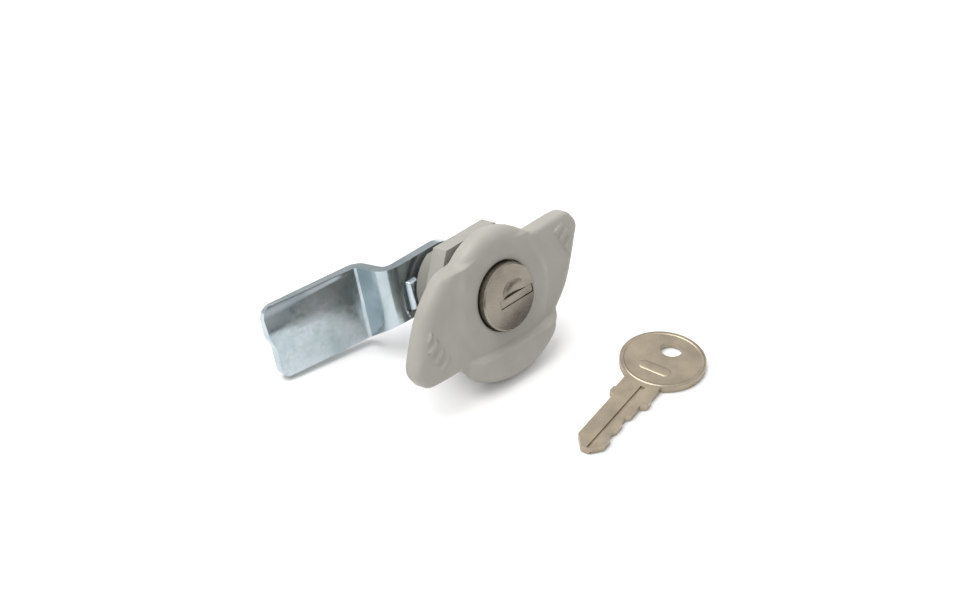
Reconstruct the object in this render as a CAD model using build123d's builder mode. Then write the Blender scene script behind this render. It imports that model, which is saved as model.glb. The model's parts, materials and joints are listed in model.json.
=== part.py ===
"""Keyed wing-knob cam lock for a sheet-metal cabinet door, lying on its side with its key beside it.

Every piece of the lock is drawn in the lock's own axes: the spindle runs along Z, the front of the
door is at +Z, the door's outer skin touches the flange at Z = 0, and the cam points to -X.
At the end all pieces are laid on the floor, where +Z is up. Millimetres and degrees throughout.
"""

from build123d import *

import math
import os

# ---- the lock along its spindle (Z, door skin at 0) ----
plug_face_z = 9.0
knob_front_z = 7.9
knob_rear_z = 1.6
flange_top_z = 3.4
nut_front_z = -1.2
nut_thickness = 4.8
body_rear_z = -15.2
body_wall = 1.0
cam_front_z = -15.8
cam_thickness = 3.0

# ---- radii about the spindle ----
body_r = 11.25
body_bore_r = 9.4
neck_r = 9.3
barrel_r = 8.0
plug_core_r = 6.0
plug_head_r = 8.9
flange_r = 14.6
spindle_r = 4.9

# ---- clearances ----
running_gap = 0.05
small_gap = 0.15
free_gap = 0.3
head_gap = 0.35
bare_cut = 0.02

# ---- wing knob ----
lobe_top_r = 17.5
lobe_bottom_r = 22.0
lobe_rounding = 3.6
wing_centre = (-0.9, -0.9)
wing_front_z = 6.3
wing_top_y = 12.2
wing_tip = (32.0, 6.6)
wing_tip_cut = 3.7
wing_waist = (23.7, -8.7)
wing_foot = (16.6, -14.0)
wing_tip_fillet = 3.2
wing_rounding = 2.2

# ---- door cut-out and nut ----
cutout_flats = 20.1
nut_across_flats = 30.0
nut_chamfer = 0.4

# ---- cam ----
cam_width = 20.0
cam_reach = 46.5
cam_bend_x = 18.7
cam_offset = 10.7
cam_tilt = 9.0
cam_neck_y = -5.2
square_size = 8.0
screw_r = 3.0
lug_height = 1.6
lug_width = 3.0
lug_length = 8.8
lug_taper = 18.0
lug_centre = (-10.4, 0.8)

# ---- lock works inside the knob ----
bolt_throw = 1.1
bolt_front_z = -10.8
bolt_thickness = 1.5
bolt_nose = 4.0
eccentric_r = 4.5
wafer_count = 5
wafer_pitch = 2.2
wafer_thickness = 0.8
wafer_width = 4.4
first_wafer_z = 2.6
wafer_travel = 0.8
works_y = -1.0
slot_length = 11.4
slot_width = 2.3
slot_centre_x = 2.3
keyway_width = 8.2
keyway_centre_x = 0.6

# ---- key ----
key_thickness = 1.7
key_bow_r = 11.2
key_hole_r = 2.9
key_hole_x = -4.6
key_blade_half = 3.9
key_length = 52.0
key_tip_fillet = 0.9
key_groove = (28.0, 1.3)
key_groove_depth = 0.5
key_groove_centre = (26.5, 1.0)

# ---- where the key lies beside the lock ----
key_place = (30.4, -35.2)
key_heading = 192.9

parts = {}


def keep(name, shape):
    """Remember a finished piece under its node name."""
    shape.label = name
    parts[name] = shape


def ring(outer, inner, low, high):
    """A plain ring about the spindle from low to high."""
    with BuildPart() as piece:
        with BuildSketch(Plane.XY.offset(low)):
            Circle(outer)
            Circle(inner, mode=Mode.SUBTRACT)
        extrude(amount=high - low)
    return piece.part


def o_ring(centre_r, wire_r, z):
    """A rubber ring of round section about the spindle."""
    with BuildPart() as piece:
        with BuildSketch(Plane.XZ):
            with Locations((centre_r, z)):
                Circle(wire_r)
        revolve(axis=Axis.Z)
    return piece.part


def coil(path_r, wire_r, pitch, height, foot):
    """A coil spring that starts at the foot and runs along +X."""
    with BuildPart() as piece:
        with BuildLine():
            turns = Helix(pitch=pitch, height=height, radius=path_r, center=foot, direction=(1, 0, 0))
        with BuildSketch(Plane(origin=turns @ 0, z_dir=turns % 0)):
            Circle(wire_r)
        sweep(is_frenet=True)
    return piece.part


bolt_rear_z = bolt_front_z - bolt_thickness
wall_front_z = body_rear_z + body_wall

# ---------------------------------------------------------------- housing, fixed in the door
gasket_groove_r = 13.1
gasket_wire_r = 0.6
gasket_centre_z = 0.25
notch_depth = 1.7
notch_from = 57.0
notch_sweep = 148.0
notch_inner_r = 7.6
flange_chamfer = 0.5

with BuildPart() as housing:
    with BuildSketch(Plane.XY.offset(body_rear_z)):
        Circle(body_r)
        Rectangle(2 * body_r, cutout_flats, mode=Mode.INTERSECT)
    extrude(amount=-body_rear_z)
    with BuildSketch():
        Circle(flange_r)
    extrude(amount=flange_top_z)
    chamfer(housing.edges().group_by(Axis.Z)[-1], length=flange_chamfer)
    with BuildSketch(Plane.XY.offset(wall_front_z)):
        Circle(body_bore_r)
    extrude(amount=flange_top_z - wall_front_z, mode=Mode.SUBTRACT)
    with BuildSketch(Plane.XY.offset(body_rear_z)):
        Circle(spindle_r + running_gap)
    extrude(amount=body_wall, mode=Mode.SUBTRACT)
    # groove for the door seal
    with BuildSketch():
        Circle(gasket_groove_r + gasket_wire_r)
        Circle(gasket_groove_r - gasket_wire_r, mode=Mode.SUBTRACT)
    extrude(amount=gasket_centre_z + gasket_wire_r, mode=Mode.SUBTRACT)
    # four pockets for the locking bolt, one for each quarter turn of the knob
    with BuildSketch(Plane.XY.offset(bolt_rear_z - free_gap)):
        with PolarLocations(body_bore_r, 4):
            Rectangle(2 * (bolt_throw + free_gap), bolt_nose + 2 * free_gap)
    extrude(amount=bolt_thickness + 2 * free_gap, mode=Mode.SUBTRACT)
    # the notch in the rear rim through which the cam's stop lug swings
    with BuildSketch(Plane.XY.offset(body_rear_z)):
        with BuildLine():
            outer_arc = CenterArc((0, 0), body_r + 1, notch_from, notch_sweep)
            inner_arc = CenterArc((0, 0), notch_inner_r, notch_from, notch_sweep)
            Line(outer_arc @ 0, inner_arc @ 0)
            Line(outer_arc @ 1, inner_arc @ 1)
        make_face()
    extrude(amount=notch_depth, mode=Mode.SUBTRACT)
keep("housing_body", housing.part)

keep("flange_o_ring", o_ring(gasket_groove_r, gasket_wire_r, gasket_centre_z))

with BuildPart() as nut:
    with BuildSketch(Plane.XY.offset(nut_front_z - nut_thickness)):
        RegularPolygon(radius=nut_across_flats / 2, side_count=6, major_radius=False)
        Circle(body_r + running_gap, mode=Mode.SUBTRACT)
    extrude(amount=nut_thickness)
    chamfer(nut.edges().filter_by(GeomType.CIRCLE), length=nut_chamfer)
keep("hex_nut", nut.part)

# ---------------------------------------------------------------- wing knob and its hollow neck
head_recess_r = plug_head_r + head_gap
head_recess_z = 5.1
neck_rear_z = wall_front_z + small_gap
dog_width = 3.0
seal_z = -2.5
seal_wire_r = 0.4
seal_groove_r = 8.5

with BuildPart() as lobes:
    with BuildSketch(Plane.XY.offset(knob_rear_z)):
        Circle(lobe_top_r)
        with Locations((0, lobe_top_r)):
            Rectangle(4 * lobe_top_r, 2 * lobe_top_r, mode=Mode.INTERSECT)
    extrude(amount=knob_front_z - knob_rear_z)
    with BuildSketch(Plane.XY.offset(knob_rear_z)):
        Circle(lobe_bottom_r)
        with Locations((0, lobe_top_r)):
            Rectangle(4 * lobe_bottom_r, 2 * lobe_top_r, mode=Mode.SUBTRACT)
    extrude(amount=knob_front_z - knob_rear_z)
    fillet(
        lobes.edges().group_by(Axis.Z)[-1].filter_by(GeomType.CIRCLE),
        radius=lobe_rounding,
    )

wing_half = [
    (wing_tip[0] - wing_tip_cut, wing_top_y),
    wing_tip,
    wing_waist,
    wing_foot,
]
with BuildPart() as wings:
    with BuildSketch(Plane(origin=(*wing_centre, knob_rear_z))) as wing_outline:
        with BuildLine():
            Polyline(*wing_half, *[(-x, -y) for x, y in wing_half], close=True)
        make_face()
        corners = wing_outline.vertices().group_by(Axis.X)
        fillet(corners[0] + corners[1] + corners[-1] + corners[-2], radius=wing_tip_fillet)
    extrude(amount=wing_front_z - knob_rear_z)
    fillet(wings.edges().group_by(Axis.Z)[-1], radius=wing_rounding)

with BuildPart() as knob:
    add(lobes.part)
    add(wings.part)
    # hollow underneath, so that the knob covers the flange
    with BuildSketch(Plane.XY.offset(knob_rear_z)):
        Circle(flange_r + free_gap)
    extrude(amount=flange_top_z + free_gap - knob_rear_z, mode=Mode.SUBTRACT)
    # neck
    with BuildSketch(Plane.XY.offset(neck_rear_z)):
        Circle(neck_r)
    extrude(amount=head_recess_z - neck_rear_z)
    with BuildSketch(Plane.XY.offset(neck_rear_z)):
        Circle(barrel_r)
    extrude(amount=knob_front_z - neck_rear_z, mode=Mode.SUBTRACT)
    with BuildSketch(Plane.XY.offset(head_recess_z)):
        Circle(head_recess_r)
    extrude(amount=knob_front_z, mode=Mode.SUBTRACT)
    # window for the bolt's nose, and slots for the spindle's dogs
    with BuildSketch(Plane.XY.offset(bolt_rear_z - small_gap)):
        with Locations((neck_r, 0)):
            Rectangle(4, bolt_nose + 2 * small_gap)
    extrude(amount=bolt_thickness + 2 * small_gap, mode=Mode.SUBTRACT)
    with BuildSketch(Plane.XY.offset(neck_rear_z)):
        with Locations((0, neck_r), (0, -neck_r)):
            Rectangle(dog_width, 4)
    extrude(amount=bolt_rear_z - small_gap - neck_rear_z, mode=Mode.SUBTRACT)
    # seal groove
    with BuildSketch(Plane.XY.offset(seal_z - seal_wire_r)):
        Circle(neck_r + bare_cut)
        Circle(seal_groove_r, mode=Mode.SUBTRACT)
    extrude(amount=2 * seal_wire_r, mode=Mode.SUBTRACT)
keep("wing_knob", knob.part)

keep("neck_o_ring", o_ring(seal_groove_r + seal_wire_r, seal_wire_r, seal_z))

# ---------------------------------------------------------------- barrel, fixed in the neck
barrel_rear_z = -9.6
barrel_groove_depth = wafer_travel + small_gap + running_gap

with BuildPart() as barrel:
    with BuildSketch(Plane.XY.offset(barrel_rear_z)):
        Circle(barrel_r)
        Circle(plug_core_r + running_gap, mode=Mode.SUBTRACT)
        # grooves that catch the wafers, one pair across and one pair a quarter turn on
        groove_length = 2 * (plug_core_r + barrel_groove_depth)
        groove_width = wafer_width + 2 * small_gap
        with Locations((0, works_y)):
            Rectangle(groove_length, groove_width, mode=Mode.SUBTRACT)
        with Locations((-works_y, 0)):
            Rectangle(groove_width, groove_length, mode=Mode.SUBTRACT)
    extrude(amount=head_recess_z - barrel_rear_z)
keep("lock_barrel", barrel.part)

# ---------------------------------------------------------------- plug
head_floor_z = head_recess_z + running_gap
pocket_low_y = 2.0
pocket_top_y = 3.6
pocket_left_x = -4.6
pocket_right_x = 1.8
pocket_height = 1.1
clip_thickness = 0.7
clip_groove_r = 5.2
clip_r = 7.2
clip_opening = 5.5
head_chamfer = 0.4
dish_r = 4.1
dish_centre_x = 1.65
dish_depth = 0.8
hinge_y = works_y - 1.9
hinge_z = 8.1
pin_r = 0.3
knuckle_r = 0.55
flap_thickness = 0.55
flap_face_z = 8.85
tip_slot_width = 4.4
flap_length = slot_length - 0.3
flap_width = slot_width - 0.4
flap_left_x = slot_centre_x - slot_length / 2 + 0.1
flap_y = works_y + 0.05
knuckle_length = 8.2
spring_wire_r = 0.08
spring_path_r = 0.45
spring_length = 2.0
spring_pitch = 0.5
room_length = slot_length - 0.4
room_step = 0.8
room_width = 2.0
knuckle_end_x = flap_left_x + knuckle_length
pin_start_x = slot_centre_x - slot_length / 2 - 1.1
pin_length = slot_length + 1.4


def wafer_z(number):
    """Height of the middle of one wafer, counted from the front."""
    return first_wafer_z - number * wafer_pitch


dish_low_y = works_y + slot_width / 2
dish_sphere_r = (dish_r**2 + dish_depth**2) / (2 * dish_depth)
with BuildPart() as dish:
    with Locations((dish_centre_x, dish_low_y, plug_face_z + dish_sphere_r - dish_depth)):
        Sphere(dish_sphere_r)
    with Locations((dish_centre_x, dish_low_y, plug_face_z)):
        Box(
            2 * dish_r,
            dish_r,
            2 * dish_depth,
            align=(Align.CENTER, Align.MIN, Align.CENTER),
            mode=Mode.INTERSECT,
        )

with BuildPart() as plug:
    with BuildSketch(Plane.XY.offset(head_floor_z)):
        Circle(plug_head_r)
    extrude(amount=plug_face_z - head_floor_z)
    chamfer(plug.edges().group_by(Axis.Z)[-1], length=head_chamfer)
    with BuildSketch(Plane.XY.offset(bolt_front_z)):
        Circle(plug_core_r)
    extrude(amount=head_floor_z - bolt_front_z)
    # the eccentric that throws the bolt
    with BuildSketch(Plane.XY.offset(bolt_rear_z)):
        with Locations((0, -bolt_throw)):
            Circle(eccentric_r)
    extrude(amount=bolt_thickness)
    # groove for the retaining clip
    with BuildSketch(Plane.XY.offset(bolt_front_z + small_gap)):
        Circle(plug_core_r + bare_cut)
        Circle(clip_groove_r, mode=Mode.SUBTRACT)
    extrude(amount=clip_thickness + 2 * running_gap, mode=Mode.SUBTRACT)
    # keyway, with a narrower end for the key's tip
    with BuildSketch(Plane.XY.offset(bolt_front_z)):
        with Locations((keyway_centre_x, works_y)):
            Rectangle(keyway_width, slot_width)
    extrude(amount=plug_face_z - bolt_front_z, mode=Mode.SUBTRACT)
    with BuildSketch(Plane.XY.offset(bolt_rear_z)):
        with Locations((keyway_centre_x, works_y)):
            Rectangle(tip_slot_width, slot_width)
    extrude(amount=bolt_thickness, mode=Mode.SUBTRACT)
    # slot in the face
    with BuildSketch(Plane.XY.offset(head_floor_z)):
        with Locations((slot_centre_x, works_y)):
            Rectangle(slot_length, slot_width)
    extrude(amount=plug_face_z - head_floor_z, mode=Mode.SUBTRACT)
    # room under the face for the shutter's knuckle and spring, and for the flap when it is open
    with BuildSketch(Plane.XY.offset(head_floor_z)):
        with Locations((flap_left_x - small_gap, hinge_y - knuckle_r - small_gap)):
            Rectangle(room_length, room_width, align=Align.MIN)
            with Locations((0, room_step)):
                Rectangle(slot_length, room_width, align=Align.MIN)
    extrude(amount=hinge_z + knuckle_r + running_gap - head_floor_z, mode=Mode.SUBTRACT)
    # half-moon dish above the slot: half of a shallow round hollow
    add(dish.part, mode=Mode.SUBTRACT)
    # bore for the shutter's hinge pin
    with BuildSketch(Plane.YZ.offset(pin_start_x - running_gap)):
        with Locations((hinge_y, hinge_z)):
            Circle(pin_r)
    extrude(amount=pin_length + 2 * running_gap, mode=Mode.SUBTRACT)
    # wafer slots, each with a side pocket for the wafer's lug and its spring
    for wafer in range(wafer_count):
        with BuildSketch(Plane.XY.offset(wafer_z(wafer) - wafer_thickness / 2 - running_gap)):
            with Locations((0, works_y)):
                Rectangle(2 * plug_core_r + 1, wafer_width + 2 * running_gap)
        extrude(amount=wafer_thickness + 2 * running_gap, mode=Mode.SUBTRACT)
        with BuildSketch(Plane.XY.offset(wafer_z(wafer) - pocket_height / 2)):
            with Locations((pocket_left_x, works_y + pocket_low_y)):
                Rectangle(pocket_right_x - pocket_left_x, pocket_top_y - pocket_low_y, align=Align.MIN)
        extrude(amount=pocket_height, mode=Mode.SUBTRACT)
keep("lock_plug", plug.part)

with BuildPart() as clip:
    with BuildSketch(Plane.XY.offset(bolt_front_z + small_gap + running_gap)):
        Circle(clip_r)
        Circle(clip_groove_r + running_gap, mode=Mode.SUBTRACT)
        with Locations((0, -clip_r)):
            Rectangle(clip_opening, clip_r, mode=Mode.SUBTRACT)
    extrude(amount=clip_thickness)
keep("plug_clip", clip.part)

# ---------------------------------------------------------------- dust shutter in the slot
with BuildPart() as shutter:
    with BuildSketch(Plane.YZ.offset(flap_left_x)):
        with Locations((hinge_y, hinge_z)):
            Circle(knuckle_r)
    extrude(amount=knuckle_length)
    # the web that joins the flap to its knuckle
    with BuildSketch(Plane.XY.offset(flap_face_z - flap_thickness)):
        with Locations((flap_left_x, hinge_y)):
            Rectangle(knuckle_length, works_y - hinge_y, align=Align.MIN)
    extrude(amount=hinge_z + knuckle_r - flap_face_z + flap_thickness)
    with BuildSketch(Plane.XY.offset(flap_face_z - flap_thickness)):
        with Locations((flap_left_x, flap_y)):
            Rectangle(flap_length, flap_width, align=(Align.MIN, Align.CENTER))
    extrude(amount=flap_thickness)
    with BuildSketch(Plane.YZ.offset(pin_start_x)):
        with Locations((hinge_y, hinge_z)):
            Circle(pin_r + running_gap)
    extrude(amount=pin_length, mode=Mode.SUBTRACT)
keep("dust_shutter", shutter.part)

with BuildPart() as shutter_pin:
    with BuildSketch(Plane.YZ.offset(pin_start_x)):
        with Locations((hinge_y, hinge_z)):
            Circle(pin_r)
    extrude(amount=pin_length)
keep("shutter_pin", shutter_pin.part)

spring_foot = (knuckle_end_x + 0.25, hinge_y, hinge_z)
keep("shutter_spring", coil(spring_path_r, spring_wire_r, spring_pitch, spring_length, spring_foot))

# ---------------------------------------------------------------- wafers and their springs
wafer_lug_x = -3.0
wafer_lug_width = 1.2
wafer_lug_top_y = 3.4
wafer_spring_r = 0.36
wafer_spring_wire_r = 0.1
wafer_spring_pitch = 0.7
wafer_spring_y = works_y + 2.85
wafer_spring_x = wafer_lug_x + wafer_lug_width / 2 + small_gap
wafer_spring_length = pocket_right_x - wafer_spring_x - small_gap
wafer_springs = []

for wafer in range(wafer_count):
    with BuildPart() as wafer_plate:
        with BuildSketch(Plane.XY.offset(wafer_z(wafer) - wafer_thickness / 2)):
            Circle(plug_core_r - running_gap)
            with Locations((0, works_y)):
                Rectangle(2 * plug_core_r, wafer_width, mode=Mode.INTERSECT)
            with Locations((wafer_lug_x, works_y)):
                Rectangle(wafer_lug_width, wafer_lug_top_y, align=(Align.CENTER, Align.MIN))
            with Locations((keyway_centre_x, works_y)):
                Rectangle(keyway_width, slot_width, mode=Mode.SUBTRACT)
        extrude(amount=wafer_thickness)
    keep(f"wafer_{wafer + 1}", wafer_plate.part)
    wafer_springs.append(
        coil(
            wafer_spring_r,
            wafer_spring_wire_r,
            wafer_spring_pitch,
            wafer_spring_length,
            (wafer_spring_x, wafer_spring_y, wafer_z(wafer)),
        )
    )
keep("wafer_springs", Compound(children=wafer_springs))

# ---------------------------------------------------------------- locking bolt, thrown by the eccentric
bolt_disc_r = 7.7
bolt_nose_tip = 9.0

with BuildPart() as bolt:
    with BuildSketch(Plane.XY.offset(bolt_rear_z + running_gap)):
        Circle(bolt_disc_r)
        with Locations((-bolt_throw, 0)):
            Circle(bolt_disc_r, mode=Mode.INTERSECT)
        with Locations((bolt_nose_tip - 2, 0)):
            Rectangle(4, bolt_nose)
        with Locations((0, -bolt_throw / 2)):
            SlotCenterToCenter(bolt_throw, 2 * (eccentric_r + free_gap), rotation=90, mode=Mode.SUBTRACT)
    extrude(amount=bolt_thickness - 2 * running_gap)
keep("lock_bolt", bolt.part)

# ---------------------------------------------------------------- spindle, with the square for the cam
spindle_front_z = bolt_rear_z - small_gap
spindle_plate_rear_z = wall_front_z + small_gap
square_rear_z = cam_front_z - cam_thickness + 0.1
thread_depth = 5.4
square_chamfer = 0.4

with BuildPart() as spindle:
    with BuildSketch(Plane.XY.offset(spindle_plate_rear_z)):
        Circle(barrel_r - running_gap)
        Rectangle(dog_width - 2 * running_gap, 2 * (neck_r - running_gap))
    extrude(amount=spindle_front_z - spindle_plate_rear_z)
    with BuildSketch(Plane.XY.offset(cam_front_z)):
        Circle(spindle_r)
    extrude(amount=spindle_plate_rear_z - cam_front_z)
    with BuildSketch(Plane.XY.offset(square_rear_z)):
        Rectangle(square_size, square_size)
    extrude(amount=cam_front_z - square_rear_z)
    chamfer(spindle.edges().group_by(Axis.Z)[0], length=square_chamfer)
    with BuildSketch(Plane.XY.offset(square_rear_z)):
        Circle(screw_r)
    extrude(amount=thread_depth, mode=Mode.SUBTRACT)
keep("spindle", spindle.part)

# ---------------------------------------------------------------- cam: a cranked steel strip
cam_drop = (cam_reach - cam_bend_x) * math.tan(math.radians(cam_tilt))
end_z = cam_front_z - cam_offset
cam_hub_r = cam_width / 2
cam_wall_lean = 0.9
cam_bend_radii = [5.0, 0.8]
cam_corner_r = 2.2
neck_slope_x = 3.0

with BuildPart() as cam:
    with BuildSketch(Plane.XZ.offset(-cam_width / 2)):
        with BuildLine():
            face_line = FilletPolyline(
                (cam_hub_r, cam_front_z),
                (-cam_bend_x + cam_wall_lean, cam_front_z),
                (-cam_bend_x, end_z),
                (-cam_reach, end_z - cam_drop),
                radius=cam_bend_radii,
            )
            offset(face_line, amount=cam_thickness, side=Side.LEFT, closed=True)
        make_face()
    extrude(amount=cam_width)
    # plan outline: round hub, waisted neck below, rounded outer corners
    with BuildSketch(Plane.XY.offset(end_z - cam_drop - 2 * cam_thickness)) as cam_plan:
        with Locations((-cam_reach, 0)):
            Rectangle(cam_reach, cam_width, align=(Align.MIN, Align.CENTER))
        fillet(cam_plan.vertices().group_by(Axis.X)[0], radius=cam_corner_r)
        with BuildLine():
            Polyline(
                (-cam_bend_x, -cam_width / 2 - 1),
                (-cam_bend_x, -cam_width / 2),
                (-cam_bend_x + neck_slope_x, cam_neck_y),
                (1, cam_neck_y),
                (1, -cam_width / 2 - 1),
                close=True,
            )
        make_face(mode=Mode.SUBTRACT)
        Circle(cam_hub_r)
        Rectangle(square_size + 2 * running_gap, square_size + 2 * running_gap, mode=Mode.SUBTRACT)
    extrude(amount=50, mode=Mode.INTERSECT)
    # the wall between the two flats narrows towards the neck
    with BuildSketch(Plane.YZ.offset(-cam_bend_x - cam_wall_lean)):
        with BuildLine():
            Polyline(
                (-cam_width / 2, end_z),
                (cam_neck_y, cam_front_z),
                (-cam_width / 2, cam_front_z),
                close=True,
            )
        make_face()
    extrude(amount=neck_slope_x + cam_wall_lean, mode=Mode.SUBTRACT)
    # pressed stop lug
    with BuildSketch(Plane.XY.offset(cam_front_z)):
        with Locations(lug_centre):
            Rectangle(lug_width, lug_length)
    extrude(amount=lug_height, taper=lug_taper)
keep("cam", cam.part)

washer_thickness = 1.4
washer_r = 6.2
screw_head_flats = 10.0
screw_head_height = 4.0
screw_reach = 1.5
thread_gap = 0.03
washer_rear_z = cam_front_z - cam_thickness - washer_thickness
keep("cam_washer", ring(washer_r, screw_r + small_gap, washer_rear_z, washer_rear_z + washer_thickness))

with BuildPart() as screw:
    with BuildSketch(Plane.XY.offset(washer_rear_z - screw_head_height)):
        RegularPolygon(radius=screw_head_flats / 2, side_count=6, major_radius=False)
    extrude(amount=screw_head_height)
    with BuildSketch(Plane.XY.offset(washer_rear_z)):
        Circle(screw_r - thread_gap)
    extrude(amount=washer_thickness + cam_thickness + screw_reach)
keep("cam_screw", screw.part)

# ---------------------------------------------------------------- key, drawn flat with its tip at +X
with BuildPart() as key:
    with BuildSketch() as key_plan:
        Circle(key_bow_r)
        with BuildLine():
            Polyline(
                (7.0, -4.9),
                (16.2, -4.9),
                (16.2, -5.4),
                (18.3, -5.4),
                (19.2, -key_blade_half),
                (37.0, -key_blade_half),
                (key_length - key_bow_r, -1.0),
                (key_length - key_bow_r, 1.2),
                (37.6, key_blade_half),
                (34.6, key_blade_half),
                (33.2, 3.0),
                (31.6, 3.0),
                (30.6, 3.5),
                (27.8, 3.5),
                (26.6, 2.9),
                (25.0, 2.9),
                (23.8, key_blade_half),
                (19.2, key_blade_half),
                (18.3, 5.4),
                (16.2, 5.4),
                (16.2, 4.9),
                (7.0, 4.9),
                close=True,
            )
        make_face()
        fillet(key_plan.vertices().group_by(Axis.X)[-1], radius=key_tip_fillet)
        with Locations((key_hole_x, 0)):
            Circle(key_hole_r, mode=Mode.SUBTRACT)
    extrude(amount=key_thickness)
    # the milled groove along the blade, on both faces
    for groove_floor_z in (0, key_thickness - key_groove_depth):
        with BuildSketch(Plane.XY.offset(groove_floor_z)):
            with Locations(key_groove_centre):
                Rectangle(*key_groove)
        extrude(amount=key_groove_depth, mode=Mode.SUBTRACT)

# ---------------------------------------------------------------- lay everything on the floor
# the lower lobe's rear edge and the cam's outer lower edge both touch the floor
rear_of_cam_end_z = end_z - cam_drop - cam_thickness / math.cos(math.radians(cam_tilt))
lean = math.degrees(
    math.atan2(lobe_bottom_r - cam_width / 2, knob_rear_z - rear_of_cam_end_z)
)
lift = lobe_bottom_r * math.cos(math.radians(lean)) - knob_rear_z * math.sin(math.radians(lean))
lying = Location((0, 0, lift), (90 - lean, 0, 0))
key_lying = Location((key_place[0], key_place[1], 0), (0, 0, key_heading))

laid = {name: shape.moved(lying) for name, shape in parts.items()}
laid["key"] = key.part.moved(key_lying)
laid["key"].label = "key"

# the origin is the middle of the whole group's footprint, on the floor
box = Compound(children=[shape.moved(Location()) for shape in laid.values()]).bounding_box()
to_origin = Location((-box.center().X, -box.center().Y, -box.min.Z))

os.makedirs("parts", exist_ok=True)
for name, shape in laid.items():
    placed = shape.moved(to_origin)
    placed.label = name
    export_step(placed, f"parts/{name}.step")
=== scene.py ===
import json
import math

import bmesh
import bpy
import numpy as np
from mathutils import Matrix, Vector


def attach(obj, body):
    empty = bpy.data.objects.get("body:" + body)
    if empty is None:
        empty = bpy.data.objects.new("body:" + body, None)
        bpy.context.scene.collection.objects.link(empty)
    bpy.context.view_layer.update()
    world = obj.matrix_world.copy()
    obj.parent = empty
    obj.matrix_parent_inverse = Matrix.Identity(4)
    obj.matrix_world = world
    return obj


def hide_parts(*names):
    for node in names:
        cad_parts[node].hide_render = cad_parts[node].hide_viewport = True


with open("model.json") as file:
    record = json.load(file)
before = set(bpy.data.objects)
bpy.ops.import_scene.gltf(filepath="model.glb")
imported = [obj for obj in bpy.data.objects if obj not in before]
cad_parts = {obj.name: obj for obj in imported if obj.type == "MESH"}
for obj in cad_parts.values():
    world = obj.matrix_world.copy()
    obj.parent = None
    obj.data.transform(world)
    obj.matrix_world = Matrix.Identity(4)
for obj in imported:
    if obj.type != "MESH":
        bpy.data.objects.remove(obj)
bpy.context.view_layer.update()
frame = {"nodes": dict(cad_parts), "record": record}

MM = 0.001
MOUNTS = {mount["name"]: mount for mount in frame["record"]["mounts"]}

# ---- the lock's own axes: X to the right, Y up, Z out of the door, zero on the door's skin ----
seat = Vector(MOUNTS["door_seat"]["pos_m"])
front = -Vector(MOUNTS["door_seat"]["axis"])
side = Vector((1, 0, 0))
up = front.cross(side)
lock_axes = Matrix((side, up, front)).transposed().to_4x4()
TO_LOCK = Matrix.Translation(seat) @ lock_axes @ Matrix.Scale(MM, 4)

# ---- sizes in millimetres that the CAD model has too ----
PLUG_FACE_Z = 9.0
KNOB_REAR_Z = 1.6
WING_FRONT_Z = 6.3
HEAD_RECESS_R = 9.25
HEAD_RECESS_Z = 5.1
FLANGE_RECESS_R = 14.9
FLANGE_RECESS_Z = 3.7
NECK_R = 9.3
NECK_BORE_R = 8.0
NECK_REAR_Z = -14.05
WINDOW_Z = (-12.45, -10.65)
WINDOW_HALF = 2.15
LOBE_TOP_R = 17.5
LOBE_BOTTOM_R = 22.0
CAM_FRONT_Z = -15.8
CAM_THICKNESS = 3.0
CAM_REACH = 46.5
CAM_BEND_X = 18.7
CAM_OFFSET = 10.7
CAM_HALF = 10.0
KEY_HOLE_X = -4.6
KEY_THICKNESS = 1.7
KEY_HEADING = math.radians(192.9)
KEY_BOW_R = 11.2

# ---- the key's own axes: X from the bow along the blade, Z up, zero at the bow's middle on the floor ----
key_hole = Vector(MOUNTS["key_ring_hole"]["pos_m"])
key_turn = Matrix.Rotation(KEY_HEADING, 4, "Z")
key_bow = key_hole - key_turn @ Vector((KEY_HOLE_X * MM, 0, 0))
key_bow.z = 0
TO_KEY = Matrix.Translation(key_bow) @ key_turn @ Matrix.Scale(MM, 4)


def smooth(value, low, high):
    """0 below low, 1 above high, with a smooth rise between; works on numbers and arrays."""
    t = np.clip((value - low) / (high - low), 0, 1)
    return t * t * (3 - 2 * t)


def fade(value, full, none):
    """1 below full, 0 above none, with a smooth fall between."""
    return smooth(-value, -none, -full)


# ================================================================ materials
# most noise lies between these values, so ramps and spreads run from one to the other
NOISE_LOW, NOISE_HIGH = 0.3, 0.7


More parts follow.
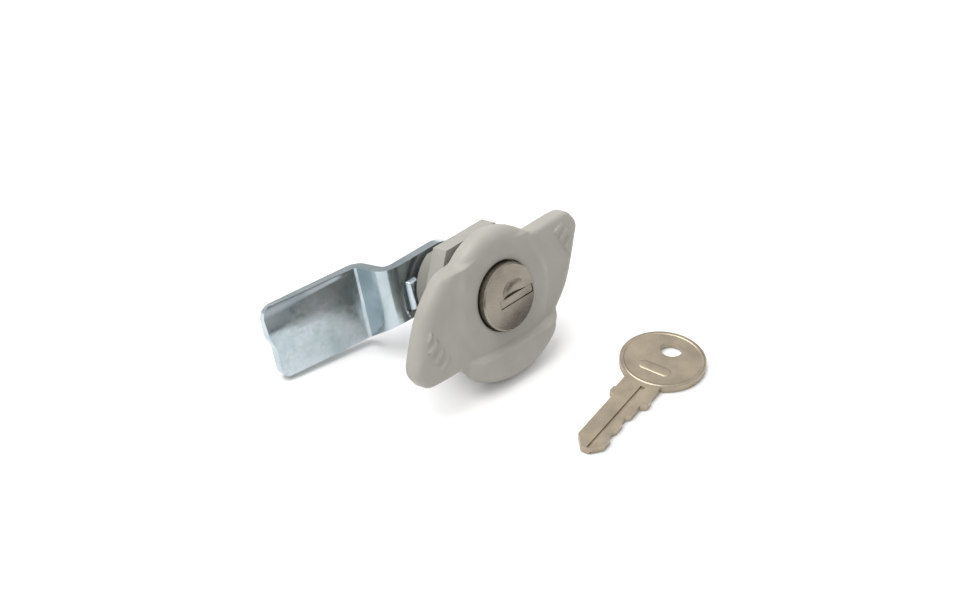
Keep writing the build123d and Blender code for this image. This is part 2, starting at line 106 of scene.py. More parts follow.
class Look:
    """A material under construction: a Principled shader and short calls for the nodes that feed it."""

    def __init__(self, name, color, metallic, roughness):
        self.material = bpy.data.materials.new(name)
        self.material.use_nodes = True
        self.tree = self.material.node_tree
        self.shader = self.tree.nodes["Principled BSDF"]
        self.shader.inputs["Base Color"].default_value = (*color, 1)
        self.shader.inputs["Metallic"].default_value = metallic
        self.shader.inputs["Roughness"].default_value = roughness
        self.coords = self.tree.nodes.new("ShaderNodeTexCoord")

    def noise(self, scale, detail=4, stretch=(1, 1, 1), turn=(0, 0, 0)):
        """Noise in object coordinates; scale is in features per metre."""
        mapping = self.tree.nodes.new("ShaderNodeMapping")
        mapping.inputs["Scale"].default_value = stretch
        mapping.inputs["Rotation"].default_value = turn
        texture = self.tree.nodes.new("ShaderNodeTexNoise")
        texture.inputs["Scale"].default_value = scale
        texture.inputs["Detail"].default_value = detail
        self.tree.links.new(self.coords.outputs["Object"], mapping.inputs["Vector"])
        self.tree.links.new(mapping.outputs["Vector"], texture.inputs["Vector"])
        return texture.outputs["Fac"]

    def ramp(self, source, stops):
        """Turns a 0-1 value into a colour by stops of (position, colour)."""
        node = self.tree.nodes.new("ShaderNodeValToRGB")
        elements = node.color_ramp.elements
        while len(elements) < len(stops):
            elements.new(0.5)
        for element, (position, color) in zip(elements, stops):
            element.position = position
            element.color = (*color, 1)
        self.tree.links.new(source, node.inputs["Fac"])
        return node.outputs["Color"]

    def spread(self, source, low, high):
        """Maps the middle of a noise to the range low-high."""
        node = self.tree.nodes.new("ShaderNodeMapRange")
        node.inputs["From Min"].default_value = NOISE_LOW
        node.inputs["From Max"].default_value = NOISE_HIGH
        node.inputs["To Min"].default_value = low
        node.inputs["To Max"].default_value = high
        self.tree.links.new(source, node.inputs["Value"])
        return node.outputs["Result"]

    def bowl(self, centre, rise):
        """Height that grows with the square of the distance from a point, for a slightly hollow face."""
        offset = self.tree.nodes.new("ShaderNodeVectorMath")
        offset.operation = "SUBTRACT"
        offset.inputs[1].default_value = centre
        squared = self.tree.nodes.new("ShaderNodeVectorMath")
        squared.operation = "DOT_PRODUCT"
        scaled = self.tree.nodes.new("ShaderNodeMath")
        scaled.operation = "MULTIPLY"
        scaled.inputs[1].default_value = rise
        self.tree.links.new(self.coords.outputs["Object"], offset.inputs[0])
        self.tree.links.new(offset.outputs["Vector"], squared.inputs[0])
        self.tree.links.new(offset.outputs["Vector"], squared.inputs[1])
        self.tree.links.new(squared.outputs["Value"], scaled.inputs[0])
        return scaled.outputs["Value"]

    def feed(self, socket, source):
        """Links a value or colour to one of the shader's sockets."""
        self.tree.links.new(source, self.shader.inputs[socket])

    def cloudy(self, color, scale, detail, darkest, lightest):
        """Feeds the base colour with cloudy patches between a darker and a lighter tint of the colour."""
        stops = [(NOISE_LOW, tinted(color, darkest)), (NOISE_HIGH, tinted(color, lightest))]
        self.feed("Base Color", self.ramp(self.noise(scale, detail=detail), stops))

    def bump(self, layers):
        """Bump from several (source, strength, distance in metres) layers."""
        normal = None
        for source, strength, distance in layers:
            node = self.tree.nodes.new("ShaderNodeBump")
            node.inputs["Strength"].default_value = strength
            node.inputs["Distance"].default_value = distance
            self.tree.links.new(source, node.inputs["Height"])
            if normal is not None:
                self.tree.links.new(normal, node.inputs["Normal"])
            normal = node.outputs["Normal"]
        self.feed("Normal", normal)


def tinted(color, change):
    """The colour made lighter or darker by a factor."""
    return tuple(channel * change for channel in color)


def moulded_plastic(name, color):
    """Matt moulded plastic with a fine grain and very faint clouds."""
    look = Look(name, color, 0, 0.5)
    look.cloudy(color, scale=120, detail=6, darkest=0.93, lightest=1.06)
    look.feed("Roughness", look.spread(look.noise(700), 0.42, 0.58))
    look.bump([(look.noise(5200, detail=3), 0.25, 0.00004), (look.noise(420), 0.2, 0.00012)])
    return look.material


def satin_nickel():
    """The plug's brushed nickel, whose round face is very slightly hollow."""
    color = (0.275, 0.248, 0.21)
    look = Look("satin_nickel", color, 1, 0.25)
    look.cloudy(color, scale=260, detail=5, darkest=0.88, lightest=1.08)
    lines = look.noise(900, detail=3, stretch=(1, 9, 9))
    look.feed("Roughness", look.spread(lines, 0.2, 0.3))
    to_plug = frame["nodes"]["lock_plug"].matrix_world.inverted()
    face_centre = to_plug @ (seat + front * PLUG_FACE_Z * MM)
    hollow = look.bowl(face_centre, rise=12.0)
    look.bump([(hollow, 1.0, 1.0), (lines, 0.18, 0.00002), (look.noise(3000), 0.15, 0.00002)])
    return look.material


def zinc_plating():
    """Bright zinc plating with bluish patches, over the fine waves of rolled steel."""
    color = (0.46, 0.53, 0.56)
    look = Look("bright_zinc_plating", color, 1, 0.2)
    cloud = look.noise(70, detail=5)
    stops = [(0.3, (0.29, 0.365, 0.395)), (0.5, color), (0.72, (0.58, 0.62, 0.69))]
    look.feed("Base Color", look.ramp(cloud, stops))
    look.feed("Roughness", look.spread(look.noise(900, detail=6), 0.13, 0.27))
    look.bump([(look.noise(3400, detail=3), 0.26, 0.00003), (look.noise(160), 0.25, 0.0002)])
    return look.material


def key_nickel():
    """Worn nickel over brass, with scratches along the key."""
    color = (0.40, 0.345, 0.262)
    look = Look("worn_nickel_brass", color, 1, 0.3)
    look.cloudy(color, scale=180, detail=6, darkest=0.8, lightest=1.12)
    scratches = look.noise(600, detail=4, stretch=(1, 14, 1), turn=(0, 0, KEY_HEADING))
    look.feed("Roughness", look.spread(scratches, 0.24, 0.42))
    look.bump([(scratches, 0.2, 0.00002), (look.noise(1500), 0.15, 0.00003)])
    return look.material


def plain_metal(name, color, roughness, grain):
    """A machined or cast metal with cloudy colour and a fine surface."""
    look = Look(name, color, 1, roughness)
    look.cloudy(color, scale=grain, detail=5, darkest=0.82, lightest=1.1)
    look.feed("Roughness", look.spread(look.noise(grain * 3), roughness - 0.08, roughness + 0.1))
    look.bump([(look.noise(grain * 8), 0.2, 0.00003)])
    return look.material


def seal_rubber():
    """Black rubber for the o-rings."""
    color = (0.035, 0.035, 0.037)
    look = Look("seal_rubber", color, 0, 0.6)
    look.cloudy(color, scale=400, detail=4, darkest=0.7, lightest=1.5)
    look.feed("Roughness", look.spread(look.noise(900), 0.5, 0.75))
    look.bump([(look.noise(2500), 0.3, 0.00003)])
    return look.material


PLASTIC = moulded_plastic("grey_moulded_plastic", (0.336, 0.324, 0.292))
NUT_PLASTIC = moulded_plastic("nut_moulded_plastic", (0.305, 0.298, 0.272))
# the housing is the same grey plastic as the knob, made darker to paint in the shade that falls on it behind
# the nut and knob
HOUSING_PAINTED_SHADE_PLASTIC = moulded_plastic("housing_plastic_painted_shade", (0.215, 0.212, 0.188))
NICKEL = satin_nickel()
ZINC = zinc_plating()
KEY_METAL = key_nickel()
STEEL = plain_metal("drawn_steel", (0.55, 0.55, 0.56), 0.32, 400)
CASTING = plain_metal("zinc_casting", (0.42, 0.42, 0.43), 0.5, 250)
BRASS = plain_metal("wafer_brass", (0.68, 0.50, 0.22), 0.3, 350)
RUBBER = seal_rubber()

# nodes that are not listed are drawn steel, and the wafers are brass
NODE_LOOKS = {
    "housing_body": HOUSING_PAINTED_SHADE_PLASTIC,
    "hex_nut": NUT_PLASTIC,
    "wing_knob": PLASTIC,
    "flange_o_ring": RUBBER,
    "neck_o_ring": RUBBER,
    "lock_barrel": CASTING,
    "spindle": CASTING,
    "lock_plug": NICKEL,
    "dust_shutter": NICKEL,
    "cam": ZINC,
    "cam_washer": ZINC,
    "cam_screw": ZINC,
    "key": KEY_METAL,
}
# how far the sharp edges of a carried-over node are rounded, in millimetres
EDGE_WIDTHS = {
    "housing_body": 0.25,
    "hex_nut": 0.35,
    "lock_plug": 0.1,
    "dust_shutter": 0.08,
    "cam_screw": 0.3,
    "cam_washer": 0.2,
    "key": 0.22,
}
BEVEL_ANGLE = math.radians(38)
SMOOTH_ANGLE = math.radians(40)
# points of one piece closer than this, in metres, are the same point
SAME_POINT = 0.000002


def soften_edges(obj, width):
    """Rounds the sharp edges of an object by width millimetres."""
    bevel = obj.modifiers.new("soft_edges", "BEVEL")
    bevel.width = width * MM
    bevel.segments = 3
    bevel.limit_method = "ANGLE"
    bevel.angle_limit = BEVEL_ANGLE
    bevel.harden_normals = False


for node_name, node in frame["nodes"].items():
    look = NODE_LOOKS.get(node_name)
    if look is None:
        look = BRASS if node_name.startswith("wafer_") and node_name != "wafer_springs" else STEEL
    node.data.materials.clear()
    node.data.materials.append(look)
    if node_name in EDGE_WIDTHS:
        soften_edges(node, EDGE_WIDTHS[node_name])


def new_piece(name, points, faces, matrix, body, look, stands_for=()):
    """Makes one visible piece from points in a piece's own axes and lets it ride on a CAD body."""
    mesh = bpy.data.meshes.new(name)
    mesh.from_pydata([tuple(point) for point in points], [], faces)
    mesh.transform(matrix)
    tidy = bmesh.new()
    tidy.from_mesh(mesh)
    bmesh.ops.remove_doubles(tidy, verts=tidy.verts, dist=SAME_POINT)
    bmesh.ops.recalc_face_normals(tidy, faces=tidy.faces)
    tidy.to_mesh(mesh)
    tidy.free()
    mesh.shade_smooth()
    mesh.set_sharp_from_angle(angle=SMOOTH_ANGLE)
    mesh.materials.append(look)
    obj = bpy.data.objects.new(name, mesh)
    bpy.context.scene.collection.objects.link(obj)
    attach(obj, body)
    if stands_for:
        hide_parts(*stands_for)
    return obj


# ================================================================ wing knob
# the straight sides of the wing bar's right half, each as its outward direction (x, y) and its distance
# from the bar's middle; the left half is the same, turned by half a turn
WING_SIDES = [
    (0.0, 1.0, 12.2),
    (0.838, 0.546, 30.4),
    (0.879, -0.478, 25.0),
    (0.6, -0.8, 20.8),
    (0.0, -1.0, 14.2),
]
# the bar's middle, seen from the spindle
WING_CENTRE = (-0.9, -0.9)
# powers that join the sides: a higher one gives a sharper corner
WING_CORNER = 24
LOBE_CORNER = 20
# the small fillet where the wings meet the lobes
INNER_FILLET = 0.2
INNER_FILLET_WIDTH = 1

# the lower lobe's sides, and how far its front edge flares out over its rear edge
LOBE_HALF_WIDTH = 15.6
LOBE_FLARE = 0.9
LOBE_FLARE_Y = (12, 16)

# heights of the plateau around the plug and of the lower lobe's face
PLATEAU_Z = 7.1
LOBE_FACE_Z = 8.6

# where the front changes height, each as (start, end)
WING_X = (9, 14)
WING_STEP_R = (14.0, 16.8)
WING_DROOP = 0.3
WING_DROOP_X = (18, 30)
LOBE_STEP_Y = (12.6, 14.4)
LOBE_STEP_X = (-16.5, -11)
LOBE_STEP_BOW = 0.003
LOBE_STEP_MIDDLE_X = 5
TOP_ARC_Y = (12.0, 13.5)
SLANT_Y = (-8.0, -3.0)
SLANT_X = (13, 17)

# the rounded front edge, as (width, drop); the last three are added to the first where they apply
EDGE_ROUND = (1.4, 1.4)
SLANT_ROUND = (2.0, 1.4)
LOBE_ROUND = (2.8, 2.6)
TOP_ROUND = (2.2, 1.6)
# the rounded lip of the plug's hole, as (inset, distance below the face), and the lip's whole width
LIP_ROUND = [(0, 0.45), (0.1, 0.12)]
LIP_WIDTH = 0.4
# the rounded rear edge, as (inset, height over the rear)
REAR_ROUND = [(0, 0.5), (0.15, 0.15), (0.5, 0)]

# the raised ribs near the left wing's tip; the right wing has the same ribs, turned by half a turn
RIB_GROUP_CENTRE = (-24.6, -4.2)
RIB_PLACES = (-4.2, -1.4, 1.4, 4.2)
RIB_GROUP_LEAN = 0.42
RIB_SLANT = 0.5
RIB_HEIGHT = 0.5
RIB_HALF_WIDTH = (0.45, 0.8)
RIB_HALF_LENGTH = (1.8, 2.2)
RIB_EDGE_GAP = (2.0, 2.8)

# how finely the shell is divided; the rings on the front crowd together towards the edge
ANGLES = 576
FRONT_RINGS = 52
RING_CROWDING = 1.7
FAR_FROM_EDGE = 5.0


def knob_outline(angle):
    """Distance from the spindle to the knob's edge in one direction."""
    x = math.cos(angle)
    y = math.sin(angle)
    sense = 1 if x >= 0 else -1
    total = 0
    for nx, ny, reach in WING_SIDES:
        shifted = reach + sense * (nx * WING_CENTRE[0] + ny * WING_CENTRE[1])
        total += (max(sense * (nx * x + ny * y), 0) / shifted) ** WING_CORNER
    wing = total ** (-1 / WING_CORNER)
    lobe = LOBE_TOP_R
    if y <= 0:
        side_on = (abs(x) / LOBE_HALF_WIDTH) ** LOBE_CORNER
        lobe = (LOBE_BOTTOM_R**-LOBE_CORNER + side_on) ** (-1 / LOBE_CORNER)
    blend = max(INNER_FILLET_WIDTH - abs(wing - lobe), 0)
    return max(wing, lobe) + INNER_FILLET * blend * blend


def edge_distance(x, y, rim):
    """Distance of each point to the closed outline, for arrays of points."""
    nearest = np.full(x.shape, np.inf)
    for start, end in zip(rim, np.roll(rim, -1, axis=0)):
        step = end - start
        along = ((x - start[0]) * step[0] + (y - start[1]) * step[1]) / (step @ step)
        along = np.clip(along, 0, 1)
        gap = np.hypot(x - start[0] - along * step[0], y - start[1] - along * step[1])
        nearest = np.minimum(nearest, gap)
    return nearest


def grip_relief(x, y):
    """Raised slanted ribs near each wing tip, in place of any mark, from 0 to 1."""
    turned = np.where(x < 0, 1.0, -1.0)
    local_y = y * turned - RIB_GROUP_CENTRE[1]
    local_x = x * turned - RIB_GROUP_CENTRE[0] + RIB_GROUP_LEAN * local_y
    ribs = np.zeros(x.shape)
    for place in RIB_PLACES:
        across = local_y - place - RIB_SLANT * local_x
        rib = fade(np.abs(across), *RIB_HALF_WIDTH) * fade(np.abs(local_x), *RIB_HALF_LENGTH)
        ribs = np.maximum(ribs, rib)
    return ribs


def front_height(x, y, gap):
    """Height of the knob's front over the whole outline; gap is the distance to the edge."""
    radius = np.hypot(x, y)
    on_wing = smooth(np.abs(x), *WING_X)
    below = -y + LOBE_STEP_BOW * (x - LOBE_STEP_MIDDLE_X) ** 2
    on_lobe = smooth(below, *LOBE_STEP_Y) * smooth(x, *LOBE_STEP_X)
    on_top = smooth(y, *TOP_ARC_Y)
    on_slant = smooth(-y * np.sign(x), *SLANT_Y) * smooth(np.abs(x), *SLANT_X)
    height = PLATEAU_Z - (PLATEAU_Z - WING_FRONT_Z) * smooth(radius, *WING_STEP_R) * on_wing
    height = height - WING_DROOP * smooth(np.abs(x), *WING_DROOP_X)
    height = height * (1 - on_lobe) + on_lobe * LOBE_FACE_Z

    width, drop = (
        edge + slant * on_slant * (1 - on_lobe) + lobe * on_lobe + top * on_top
        for edge, slant, lobe, top in zip(EDGE_ROUND, SLANT_ROUND, LOBE_ROUND, TOP_ROUND)
    )
    part = 1 - np.clip(gap / width, 0, 1)
    height = height - drop * (1 - np.sqrt(np.clip(1 - part * part, 0, 1)))
    return height + RIB_HEIGHT * grip_relief(x, y) * smooth(gap, *RIB_EDGE_GAP)


def knob_rings():
    """Rings of points up the plug's hole, out over the front, and back in along the rear and the neck."""
    angles = np.arange(ANGLES) * 2 * math.pi / ANGLES
    cos, sin = np.cos(angles), np.sin(angles)
    rear_reach = np.array([knob_outline(angle) for angle in angles])
    reach = rear_reach + LOBE_FLARE * smooth(-rear_reach * sin, *LOBE_FLARE_Y)
    rim = np.stack([reach * cos, reach * sin], axis=1)

    def ring(radius, height):
        radius = np.broadcast_to(radius, angles.shape)
        height = np.broadcast_to(height, angles.shape)
        return np.stack([radius * cos, radius * sin, height], axis=1)

    # up the hole for the plug's head and over its rounded lip
    lip = front_height(HEAD_RECESS_R * cos, HEAD_RECESS_R * sin, np.full(ANGLES, FAR_FROM_EDGE))
    rings = [ring(NECK_BORE_R, HEAD_RECESS_Z), ring(HEAD_RECESS_R, HEAD_RECESS_Z)]
    rings += [ring(HEAD_RECESS_R + inset, lip - below) for inset, below in LIP_ROUND]
    # the front
    first = HEAD_RECESS_R + LIP_WIDTH
    for step in range(FRONT_RINGS + 1):
        part = 1 - (1 - step / FRONT_RINGS) ** RING_CROWDING
        radius = first + (reach - first) * part
        x, y = radius * cos, radius * sin
        gap = edge_distance(x, y, rim) if step < FRONT_RINGS else np.zeros(ANGLES)
        rings.append(ring(radius, front_height(x, y, gap)))
    # the rounded rear edge, the hollow underneath, and the neck outside and inside
    rings += [ring(rear_reach - inset, KNOB_REAR_Z + height) for inset, height in REAR_ROUND]
    rings += [
        ring(FLANGE_RECESS_R, KNOB_REAR_Z),
        ring(FLANGE_RECESS_R, FLANGE_RECESS_Z),
        ring(NECK_R, FLANGE_RECESS_Z),
        ring(NECK_R, WINDOW_Z[1]),
        ring(NECK_R, WINDOW_Z[0]),
        ring(NECK_R, NECK_REAR_Z),
        ring(NECK_BORE_R, NECK_REAR_Z),
        ring(NECK_BORE_R, WINDOW_Z[0]),
        ring(NECK_BORE_R, WINDOW_Z[1]),
    ]
    return rings


def knob_faces(count):
    """Faces between the rings, with a window for the bolt through the neck, near the last rings."""
    outer_top = count - 6
    outer_low = count - 5
    inner_low = count - 2
    inner_top = count - 1
    window_half = math.ceil(math.asin(WINDOW_HALF / NECK_R) * ANGLES / (2 * math.pi))
    window = {column % ANGLES for column in range(-window_half, window_half)}

    def at(level, column):
        return level * ANGLES + column % ANGLES

    def band(level, following, column):
        """One face of the strip between two rings."""
        return at(level, column), at(level, column + 1), at(following, column + 1), at(following, column)

    faces = []
    for level in range(count):
        for column in range(ANGLES):
            if level not in (outer_top, inner_low) or column not in window:
                faces.append(band(level, (level + 1) % count, column))
    # the window's four walls
    for column in window:
        faces.append(band(outer_top, inner_top, column))
        faces.append(band(outer_low, inner_low, column))
    for column in (-window_half, window_half):
        faces.append(tuple(at(level, column) for level in (outer_top, outer_low, inner_low, inner_top)))
    return faces


def build_knob():
    """The knob's whole shell with its neck."""
    rings = knob_rings()
    points = np.concatenate(rings)
    faces = knob_faces(len(rings))
    return new_piece("knob_shell", points, faces, TO_LOCK, "knob", PLASTIC, stands_for=("wing_knob",))


build_knob()

# ================================================================ cam
# the plate beyond the crank leans back by this much
CAM_TILT = math.radians(8.8)
# how far the crank's wall leans over its height, and the roundings at its front and rear ends
WALL_LEAN = 0.8
HUB_BEND = 5.2
PLATE_CREASE = 0.9
TIP_LOW_CORNER_R = 2.4
TIP_TOP_CORNER_R = 3.6
NECK_LOW_Y = -5.3
# the visual strip is this much thinner than the CAD one, so that its rear clears the washer
REAR_GAP = 0.15
CAM_EDGE = 0.4
LUG_EDGE = 0.25

# how finely the strip is divided along and across; the plate's columns crowd together towards the tip
HUB_COLUMNS = 40
FLAT_COLUMNS = 36
BEND_COLUMNS = 30
WALL_COLUMNS = 12
CREASE_COLUMNS = 10
PLATE_COLUMNS = 90
PLATE_CROWDING = 1.5
CAM_ROWS = 44
HUB_FIRST_TURN = math.radians(88)

# the plate's upper half falls back towards the tip
LEAD_IN_DEPTH = 1.1
LEAD_IN_X = (30, CAM_REACH)
LEAD_IN_Y = (2.0, 9.6)
LEAD_IN_POWER = 1.3
# the plate's upper edge is rolled back, over a wider band towards the tip
ROLL_DEPTH = 0.5
ROLL_X = (20, 26)
ROLL_Y = (8.7, 10.0)
ROLL_WIDENING = 1.4
ROLL_WIDENING_X = (22, CAM_REACH)
# the press tool leaves a low round ridge near the hub
RIDGE_HEIGHT = 0.22
RIDGE_R = 13.7
RIDGE_WIDTH = 0.32
RIDGE_REACH_X = 16
# the tip's lower half ends a little short of its upper half
TIP_NOTCH = 1.3
TIP_NOTCH_X = (CAM_REACH - 7, CAM_REACH)
TIP_NOTCH_Y = (-2.5, 2.0)


def curve_around(start, corner, end, columns):
    """Points of a smooth curve from start towards end, pulled towards a corner."""
    parts = [step / columns for step in range(columns)]
    return [tuple(start * (1 - t) ** 2 + corner * 2 * t * (1 - t) + end * t * t) for t in parts]


def cam_centre_line():
    """Front-face line of the strip from the hub's round end to the tip, as (x, z) points."""
    wall_top = Vector((-CAM_BEND_X + WALL_LEAN, CAM_FRONT_Z))
    corner = Vector((-CAM_BEND_X, CAM_FRONT_Z - CAM_OFFSET))
    down_wall = (corner - wall_top).normalized()
    along_plate = Vector((-math.cos(CAM_TILT), -math.sin(CAM_TILT)))
    bend_start_x = wall_top.x + HUB_BEND
    bend_start = Vector((bend_start_x, CAM_FRONT_Z))
    bend_end = wall_top + down_wall * HUB_BEND
    wall_end = corner - down_wall * PLATE_CREASE
    plate_start = corner + along_plate * PLATE_CREASE
    plate_end = corner + along_plate * ((CAM_REACH - CAM_BEND_X) / math.cos(CAM_TILT))

    points = []
    for step in range(HUB_COLUMNS):
        turn = HUB_FIRST_TURN * (1 - step / HUB_COLUMNS)
        points.append((CAM_HALF * math.sin(turn), CAM_FRONT_Z))
    for step in range(FLAT_COLUMNS):
        points.append((bend_start_x * step / FLAT_COLUMNS, CAM_FRONT_Z))
    points += curve_around(bend_start, wall_top, bend_end, BEND_COLUMNS)
    for step in range(WALL_COLUMNS):
        points.append(tuple(bend_end.lerp(wall_end, step / WALL_COLUMNS)))
    points += curve_around(wall_end, corner, plate_start, CREASE_COLUMNS)
    for step in range(PLATE_COLUMNS + 1):
        part = 1 - (1 - step / PLATE_COLUMNS) ** PLATE_CROWDING
        points.append(tuple(plate_start.lerp(plate_end, part)))
    return np.array(points)


def cam_edges(x, z):
    """Lower and upper edge of the strip at one place on its centre line."""
    round_end = math.sqrt(max(CAM_HALF**2 - x * x, 0.0))
    if x > 0:
        return -round_end, round_end
    from_tip = x + CAM_REACH

    def corner(radius):
        """How far a rounded corner of the tip takes the edge in at this place."""
        inside = max(radius - from_tip, 0)
        return radius - math.sqrt(max(radius**2 - inside**2, 0))

    down_wall = min(max((CAM_FRONT_Z - z) / CAM_OFFSET, 0), 1)
    neck_low = NECK_LOW_Y - (CAM_HALF + NECK_LOW_Y) * down_wall
    return min(-round_end, neck_low) + corner(TIP_LOW_CORNER_R), CAM_HALF - corner(TIP_TOP_CORNER_R)


def cam_relief(x, y):
    """How far the front face stands in front of the flat strip, at one x and an array of y."""
    lead_in = smooth(-x, *LEAD_IN_X) * smooth(y, *LEAD_IN_Y) ** LEAD_IN_POWER
    roll_start = ROLL_Y[0] - ROLL_WIDENING * smooth(-x, *ROLL_WIDENING_X)
    roll = smooth(-x, *ROLL_X) * smooth(y, roll_start, ROLL_Y[1])
    ridge = 0 * y
    if abs(x) < RIDGE_REACH_X:
        ridge = np.exp(-((np.hypot(x, y) - RIDGE_R) / RIDGE_WIDTH) ** 2)
    return -LEAD_IN_DEPTH * lead_in - ROLL_DEPTH * roll + RIDGE_HEIGHT * ridge


def cam_points():
    """Rows of points across the strip for each place along it, the front face's first."""
    line = cam_centre_line()
    tangent = np.gradient(line, axis=0)
    tangent /= np.linalg.norm(tangent, axis=1)[:, None]
    normal = np.stack([-tangent[:, 1], tangent[:, 0]], axis=1)
    normal = np.where(normal[:, 1:2] < 0, -normal, normal)
    # rows crowd together towards both edges
    spread = np.arange(CAM_ROWS + 1) / CAM_ROWS
    spread = 0.5 - 0.5 * np.cos(math.pi * spread)
    front_points, rear_points = [], []
    for (x, z), (nx, nz) in zip(line, normal):
        low, high = cam_edges(x, z)
        y = low + (high - low) * spread
        offset = cam_relief(x, y)
        back = -CAM_THICKNESS + REAR_GAP
        x = x + TIP_NOTCH * smooth(-x, *TIP_NOTCH_X) * smooth(-y, *TIP_NOTCH_Y)
        front_points.append(np.stack([x + nx * offset, y, z + nz * offset], axis=1))
        rear_points.append(np.stack([x + nx * back, y, z + nz * back + 0 * y], axis=1))
    return np.concatenate(front_points + rear_points), len(line)


def cam_faces(columns):
    """Faces of the strip's front, rear, long edges and two ends."""
    rows = CAM_ROWS + 1
    rear = columns * rows
    faces = []
    for column in range(columns - 1):
        for row in range(CAM_ROWS):
            a = column * rows + row
            faces.append((a, a + 1, a + rows + 1, a + rows))
            faces.append((rear + a, rear + a + rows, rear + a + rows + 1, rear + a + 1))
        for row in (0, CAM_ROWS):
            a = column * rows + row
            faces.append((a, a + rows, rear + a + rows, rear + a))
    for column in (0, columns - 1):
        for row in range(CAM_ROWS):
            a = column * rows + row
            faces.append((a, a + 1, rear + a + 1, rear + a))
    return faces


def build_cam():
    """The cranked steel strip with its round hub end and its narrow neck."""
    points, columns = cam_points()
    cam = new_piece("cam_strip", points, cam_faces(columns), TO_LOCK, "knob", ZINC, stands_for=("cam",))
    soften_edges(cam, CAM_EDGE)
    return cam


build_cam()

# the stop lug's middle on the hub, and its levels as (height over the hub, half size in x, half size in y)
LUG_CENTRE = (-10.4, 0.8)
LUG_LEVELS = [(-0.3, 1.9, 4.2), (0.9, 1.45, 3.8), (1.45, 1.15, 3.4), (1.6, 0.7, 2.9)]


def build_lug():
    """The pressed stop lug on the cam's hub, a small block with sloping sides."""
    points, faces = [], []
    for height, half_x, half_y in LUG_LEVELS:
        for sx, sy in ((-1, -1), (1, -1), (1, 1), (-1, 1)):
            points.append((LUG_CENTRE[0] + sx * half_x, LUG_CENTRE[1] + sy * half_y, CAM_FRONT_Z + height))
    for level in range(len(LUG_LEVELS) - 1):
        for corner in range(4):
            a = level * 4 + corner
            b = level * 4 + (corner + 1) % 4
            faces.append((a, b, b + 4, a + 4))
    last = (len(LUG_LEVELS) - 1) * 4
    faces.append((last, last + 1, last + 2, last + 3))
    faces.append((3, 2, 1, 0))
    lug = new_piece("cam_lug", points, faces, TO_LOCK, "knob", ZINC)
    soften_edges(lug, LUG_EDGE)
    return lug


build_lug()

# ================================================================ relief on the key's bow
# the relief starts just under the bow's surface
RELIEF_BASE_Z = KEY_THICKNESS - 0.02
RELIEF_HEIGHT = 0.16

BOW_RIM_R = KEY_BOW_R - 0.75
BOW_RIM_WIDTH = 0.9
BOW_RIM_ROUNDNESS = 0.6
BOW_RIM_COLUMNS = 160
BOW_RIM_ROWS = 8

BAR_CENTRE_X = 4.4
BAR_HALF_LENGTH = 4.6
BAR_HALF_WIDTH = 1.7
BAR_COLUMNS = 64
# from the bar's edge to its flat top, as (inset, height)
BAR_ROWS = [(0.0, 0.0), (0.25, 0.11), (0.55, RELIEF_HEIGHT), (1.5, RELIEF_HEIGHT)]


def build_bow_rim():
    """A low raised ring with a rounded top, along the bow's edge."""
    points, faces = [], []
    for column in range(BOW_RIM_COLUMNS):
        angle = 2 * math.pi * column / BOW_RIM_COLUMNS
        for row in range(BOW_RIM_ROWS + 1):
            part = row / BOW_RIM_ROWS
            radius = BOW_RIM_R + BOW_RIM_WIDTH * (part - 0.5)
            z = RELIEF_BASE_Z + RELIEF_HEIGHT * math.sin(math.pi * part) ** BOW_RIM_ROUNDNESS
            points.append((radius * math.cos(angle), radius * math.sin(angle), z))
    for column in range(BOW_RIM_COLUMNS):
        first = column * (BOW_RIM_ROWS + 1)
        following = (column + 1) % BOW_RIM_COLUMNS * (BOW_RIM_ROWS + 1)
        for row in range(BOW_RIM_ROWS):
            a, b = first + row, following + row
            faces.append((a, a + 1, b + 1, b))
        faces.append((first, following, following + BOW_RIM_ROWS, first + BOW_RIM_ROWS))
    return new_piece("key_bow_rim", points, faces, TO_KEY, "key", KEY_METAL)


rim = build_bow_rim()


def build_bow_bar():
    """A low raised bar with round ends across the bow, in place of any mark."""
    points, faces = [], []
    for inset, height in BAR_ROWS:
        for column in range(BAR_COLUMNS):
            angle = 2 * math.pi * column / BAR_COLUMNS
            end_r = BAR_HALF_WIDTH - inset
            x = end_r * math.cos(angle)
            y = end_r * math.sin(angle) + math.copysign(BAR_HALF_LENGTH - BAR_HALF_WIDTH, math.sin(angle))
            points.append((BAR_CENTRE_X + x, y, RELIEF_BASE_Z + height))
    for row in range(len(BAR_ROWS) - 1):
        for column in range(BAR_COLUMNS):
            following = (column + 1) % BAR_COLUMNS
            a, b = row * BAR_COLUMNS + column, row * BAR_COLUMNS + following
            faces.append((a, b, b + BAR_COLUMNS, a + BAR_COLUMNS))
    faces.append(tuple(range((len(BAR_ROWS) - 1) * BAR_COLUMNS, len(BAR_ROWS) * BAR_COLUMNS)))
    faces.append(tuple(reversed(range(BAR_COLUMNS))))
    return new_piece("key_bow_bar", points, faces, TO_KEY, "key", KEY_METAL)


build_bow_bar()

# ================================================================ floor, light, camera; sizes here in metres
FLOOR_HALF = 3.0
FLOOR_DROP = 0.0002
FLOOR_SHADE = 0.90
FLOOR_CHANGE = 0.01
SKY_LOW, SKY_HIGH = 0.16, 1.1
SKY_HIGH_AT = 0.9
SKY_BEHIND = 0.4
SKY_COLOR = (1, 0.995, 0.985, 1)
KEY_LIGHT_PLACE = Vector((-0.24, 0.32, 0.98))
KEY_LIGHT_SIZE = 0.9
KEY_LIGHT_POWER = 9
FILL_LIGHT_PLACE = Vector((-0.6, -0.7, 0.5))
FILL_LIGHT_SIZE = 0.6
FILL_LIGHT_POWER = 0.4
VIEW_AZIMUTH = -0.841
VIEW_ELEVATION = 0.701
VIEW_ROLL = 0.048
VIEW_DISTANCE = 0.728
VIEW_LENS = 106.5
AIM_OFFSET = Vector((0.0148, 0.0238, 0))


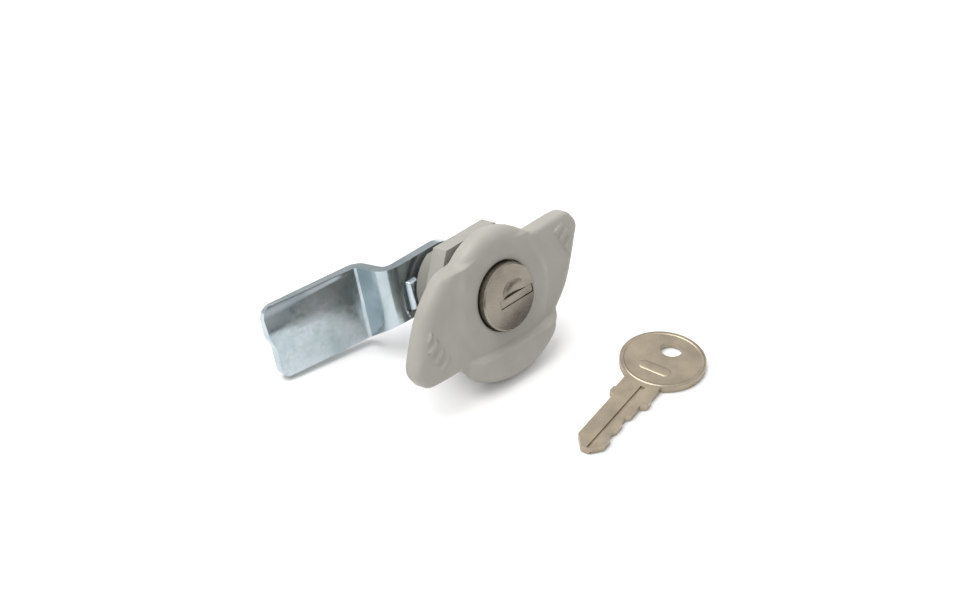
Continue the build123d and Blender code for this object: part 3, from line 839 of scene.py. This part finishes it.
def pale_paper():
    look = Look("pale_paper", (FLOOR_SHADE,) * 3, 0, 0.8)
    shades = [(0.3, (FLOOR_SHADE - FLOOR_CHANGE,) * 3), (0.7, (FLOOR_SHADE + FLOOR_CHANGE,) * 3)]
    look.feed("Base Color", look.ramp(look.noise(15), shades))
    return look.material


def build_floor():
    """A wide pale sheet just under the lowest pieces."""
    corners = [(sx * FLOOR_HALF, sy * FLOOR_HALF, 0) for sx, sy in ((-1, -1), (1, -1), (1, 1), (-1, 1))]
    mesh = bpy.data.meshes.new("floor")
    mesh.from_pydata(corners, [], [(0, 1, 2, 3)])
    mesh.materials.append(pale_paper())
    floor = bpy.data.objects.new("floor", mesh)
    bpy.context.scene.collection.objects.link(floor)
    floor.location.z = -FLOOR_DROP
    return floor


def studio_sky():
    """A world that is dim at the horizon and bright overhead, and a little brighter behind the lock."""
    world = bpy.data.worlds.new("studio")
    world.use_nodes = True
    tree = world.node_tree
    direction = tree.nodes.new("ShaderNodeTexCoord")
    split = tree.nodes.new("ShaderNodeSeparateXYZ")
    upward = tree.nodes.new("ShaderNodeMapRange")
    upward.inputs["From Min"].default_value = 0.0
    upward.inputs["From Max"].default_value = SKY_HIGH_AT
    upward.inputs["To Min"].default_value = SKY_LOW
    upward.inputs["To Max"].default_value = SKY_HIGH
    behind = tree.nodes.new("ShaderNodeMapRange")
    behind.inputs["To Max"].default_value = SKY_BEHIND
    total = tree.nodes.new("ShaderNodeMath")
    tree.links.new(direction.outputs["Generated"], split.inputs["Vector"])
    tree.links.new(split.outputs["Z"], upward.inputs["Value"])
    tree.links.new(split.outputs["Y"], behind.inputs["Value"])
    tree.links.new(upward.outputs["Result"], total.inputs[0])
    tree.links.new(behind.outputs["Result"], total.inputs[1])
    tree.links.new(total.outputs["Value"], tree.nodes["Background"].inputs["Strength"])
    tree.nodes["Background"].inputs["Color"].default_value = SKY_COLOR
    return world


def soft_light(name, place, target, size, power):
    """A square area light that points at the target."""
    data = bpy.data.lights.new(name, "AREA")
    data.size = size
    data.energy = power
    lamp = bpy.data.objects.new(name, data)
    bpy.context.scene.collection.objects.link(lamp)
    lamp.location = place
    lamp.rotation_mode = "QUATERNION"
    lamp.rotation_quaternion = (Vector(target) - Vector(place)).to_track_quat("-Z", "Y")


def build_camera(target):
    """A camera at VIEW_DISTANCE from the target, aimed a little beside it."""
    data = bpy.data.cameras.new("camera")
    data.lens = VIEW_LENS
    camera = bpy.data.objects.new("camera", data)
    bpy.context.scene.collection.objects.link(camera)
    away = Vector(
        (
            math.sin(VIEW_AZIMUTH) * math.cos(VIEW_ELEVATION),
            -math.cos(VIEW_AZIMUTH) * math.cos(VIEW_ELEVATION),
            math.sin(VIEW_ELEVATION),
        )
    )
    camera.location = target + away * VIEW_DISTANCE
    back = (camera.location - target - AIM_OFFSET).normalized()
    level = Vector((0, 0, 1)).cross(back).normalized()
    upright = back.cross(level)
    right = level * math.cos(VIEW_ROLL) + upright * math.sin(VIEW_ROLL)
    above = back.cross(right)
    camera.rotation_mode = "QUATERNION"
    camera.rotation_quaternion = Matrix((right, above, back)).transposed().to_quaternion()
    return camera


floor = build_floor()
bpy.context.scene.world = studio_sky()

plug_face = seat + front * PLUG_FACE_Z * MM
plug_floor = Vector((plug_face.x, plug_face.y, 0))
soft_light("key_light", plug_floor + KEY_LIGHT_PLACE, plug_floor, KEY_LIGHT_SIZE, KEY_LIGHT_POWER)
soft_light("fill_light", plug_floor + FILL_LIGHT_PLACE, plug_floor, FILL_LIGHT_SIZE, FILL_LIGHT_POWER)
bpy.context.scene.camera = build_camera(plug_floor)
bpy.context.scene.view_settings.view_transform = "Standard"
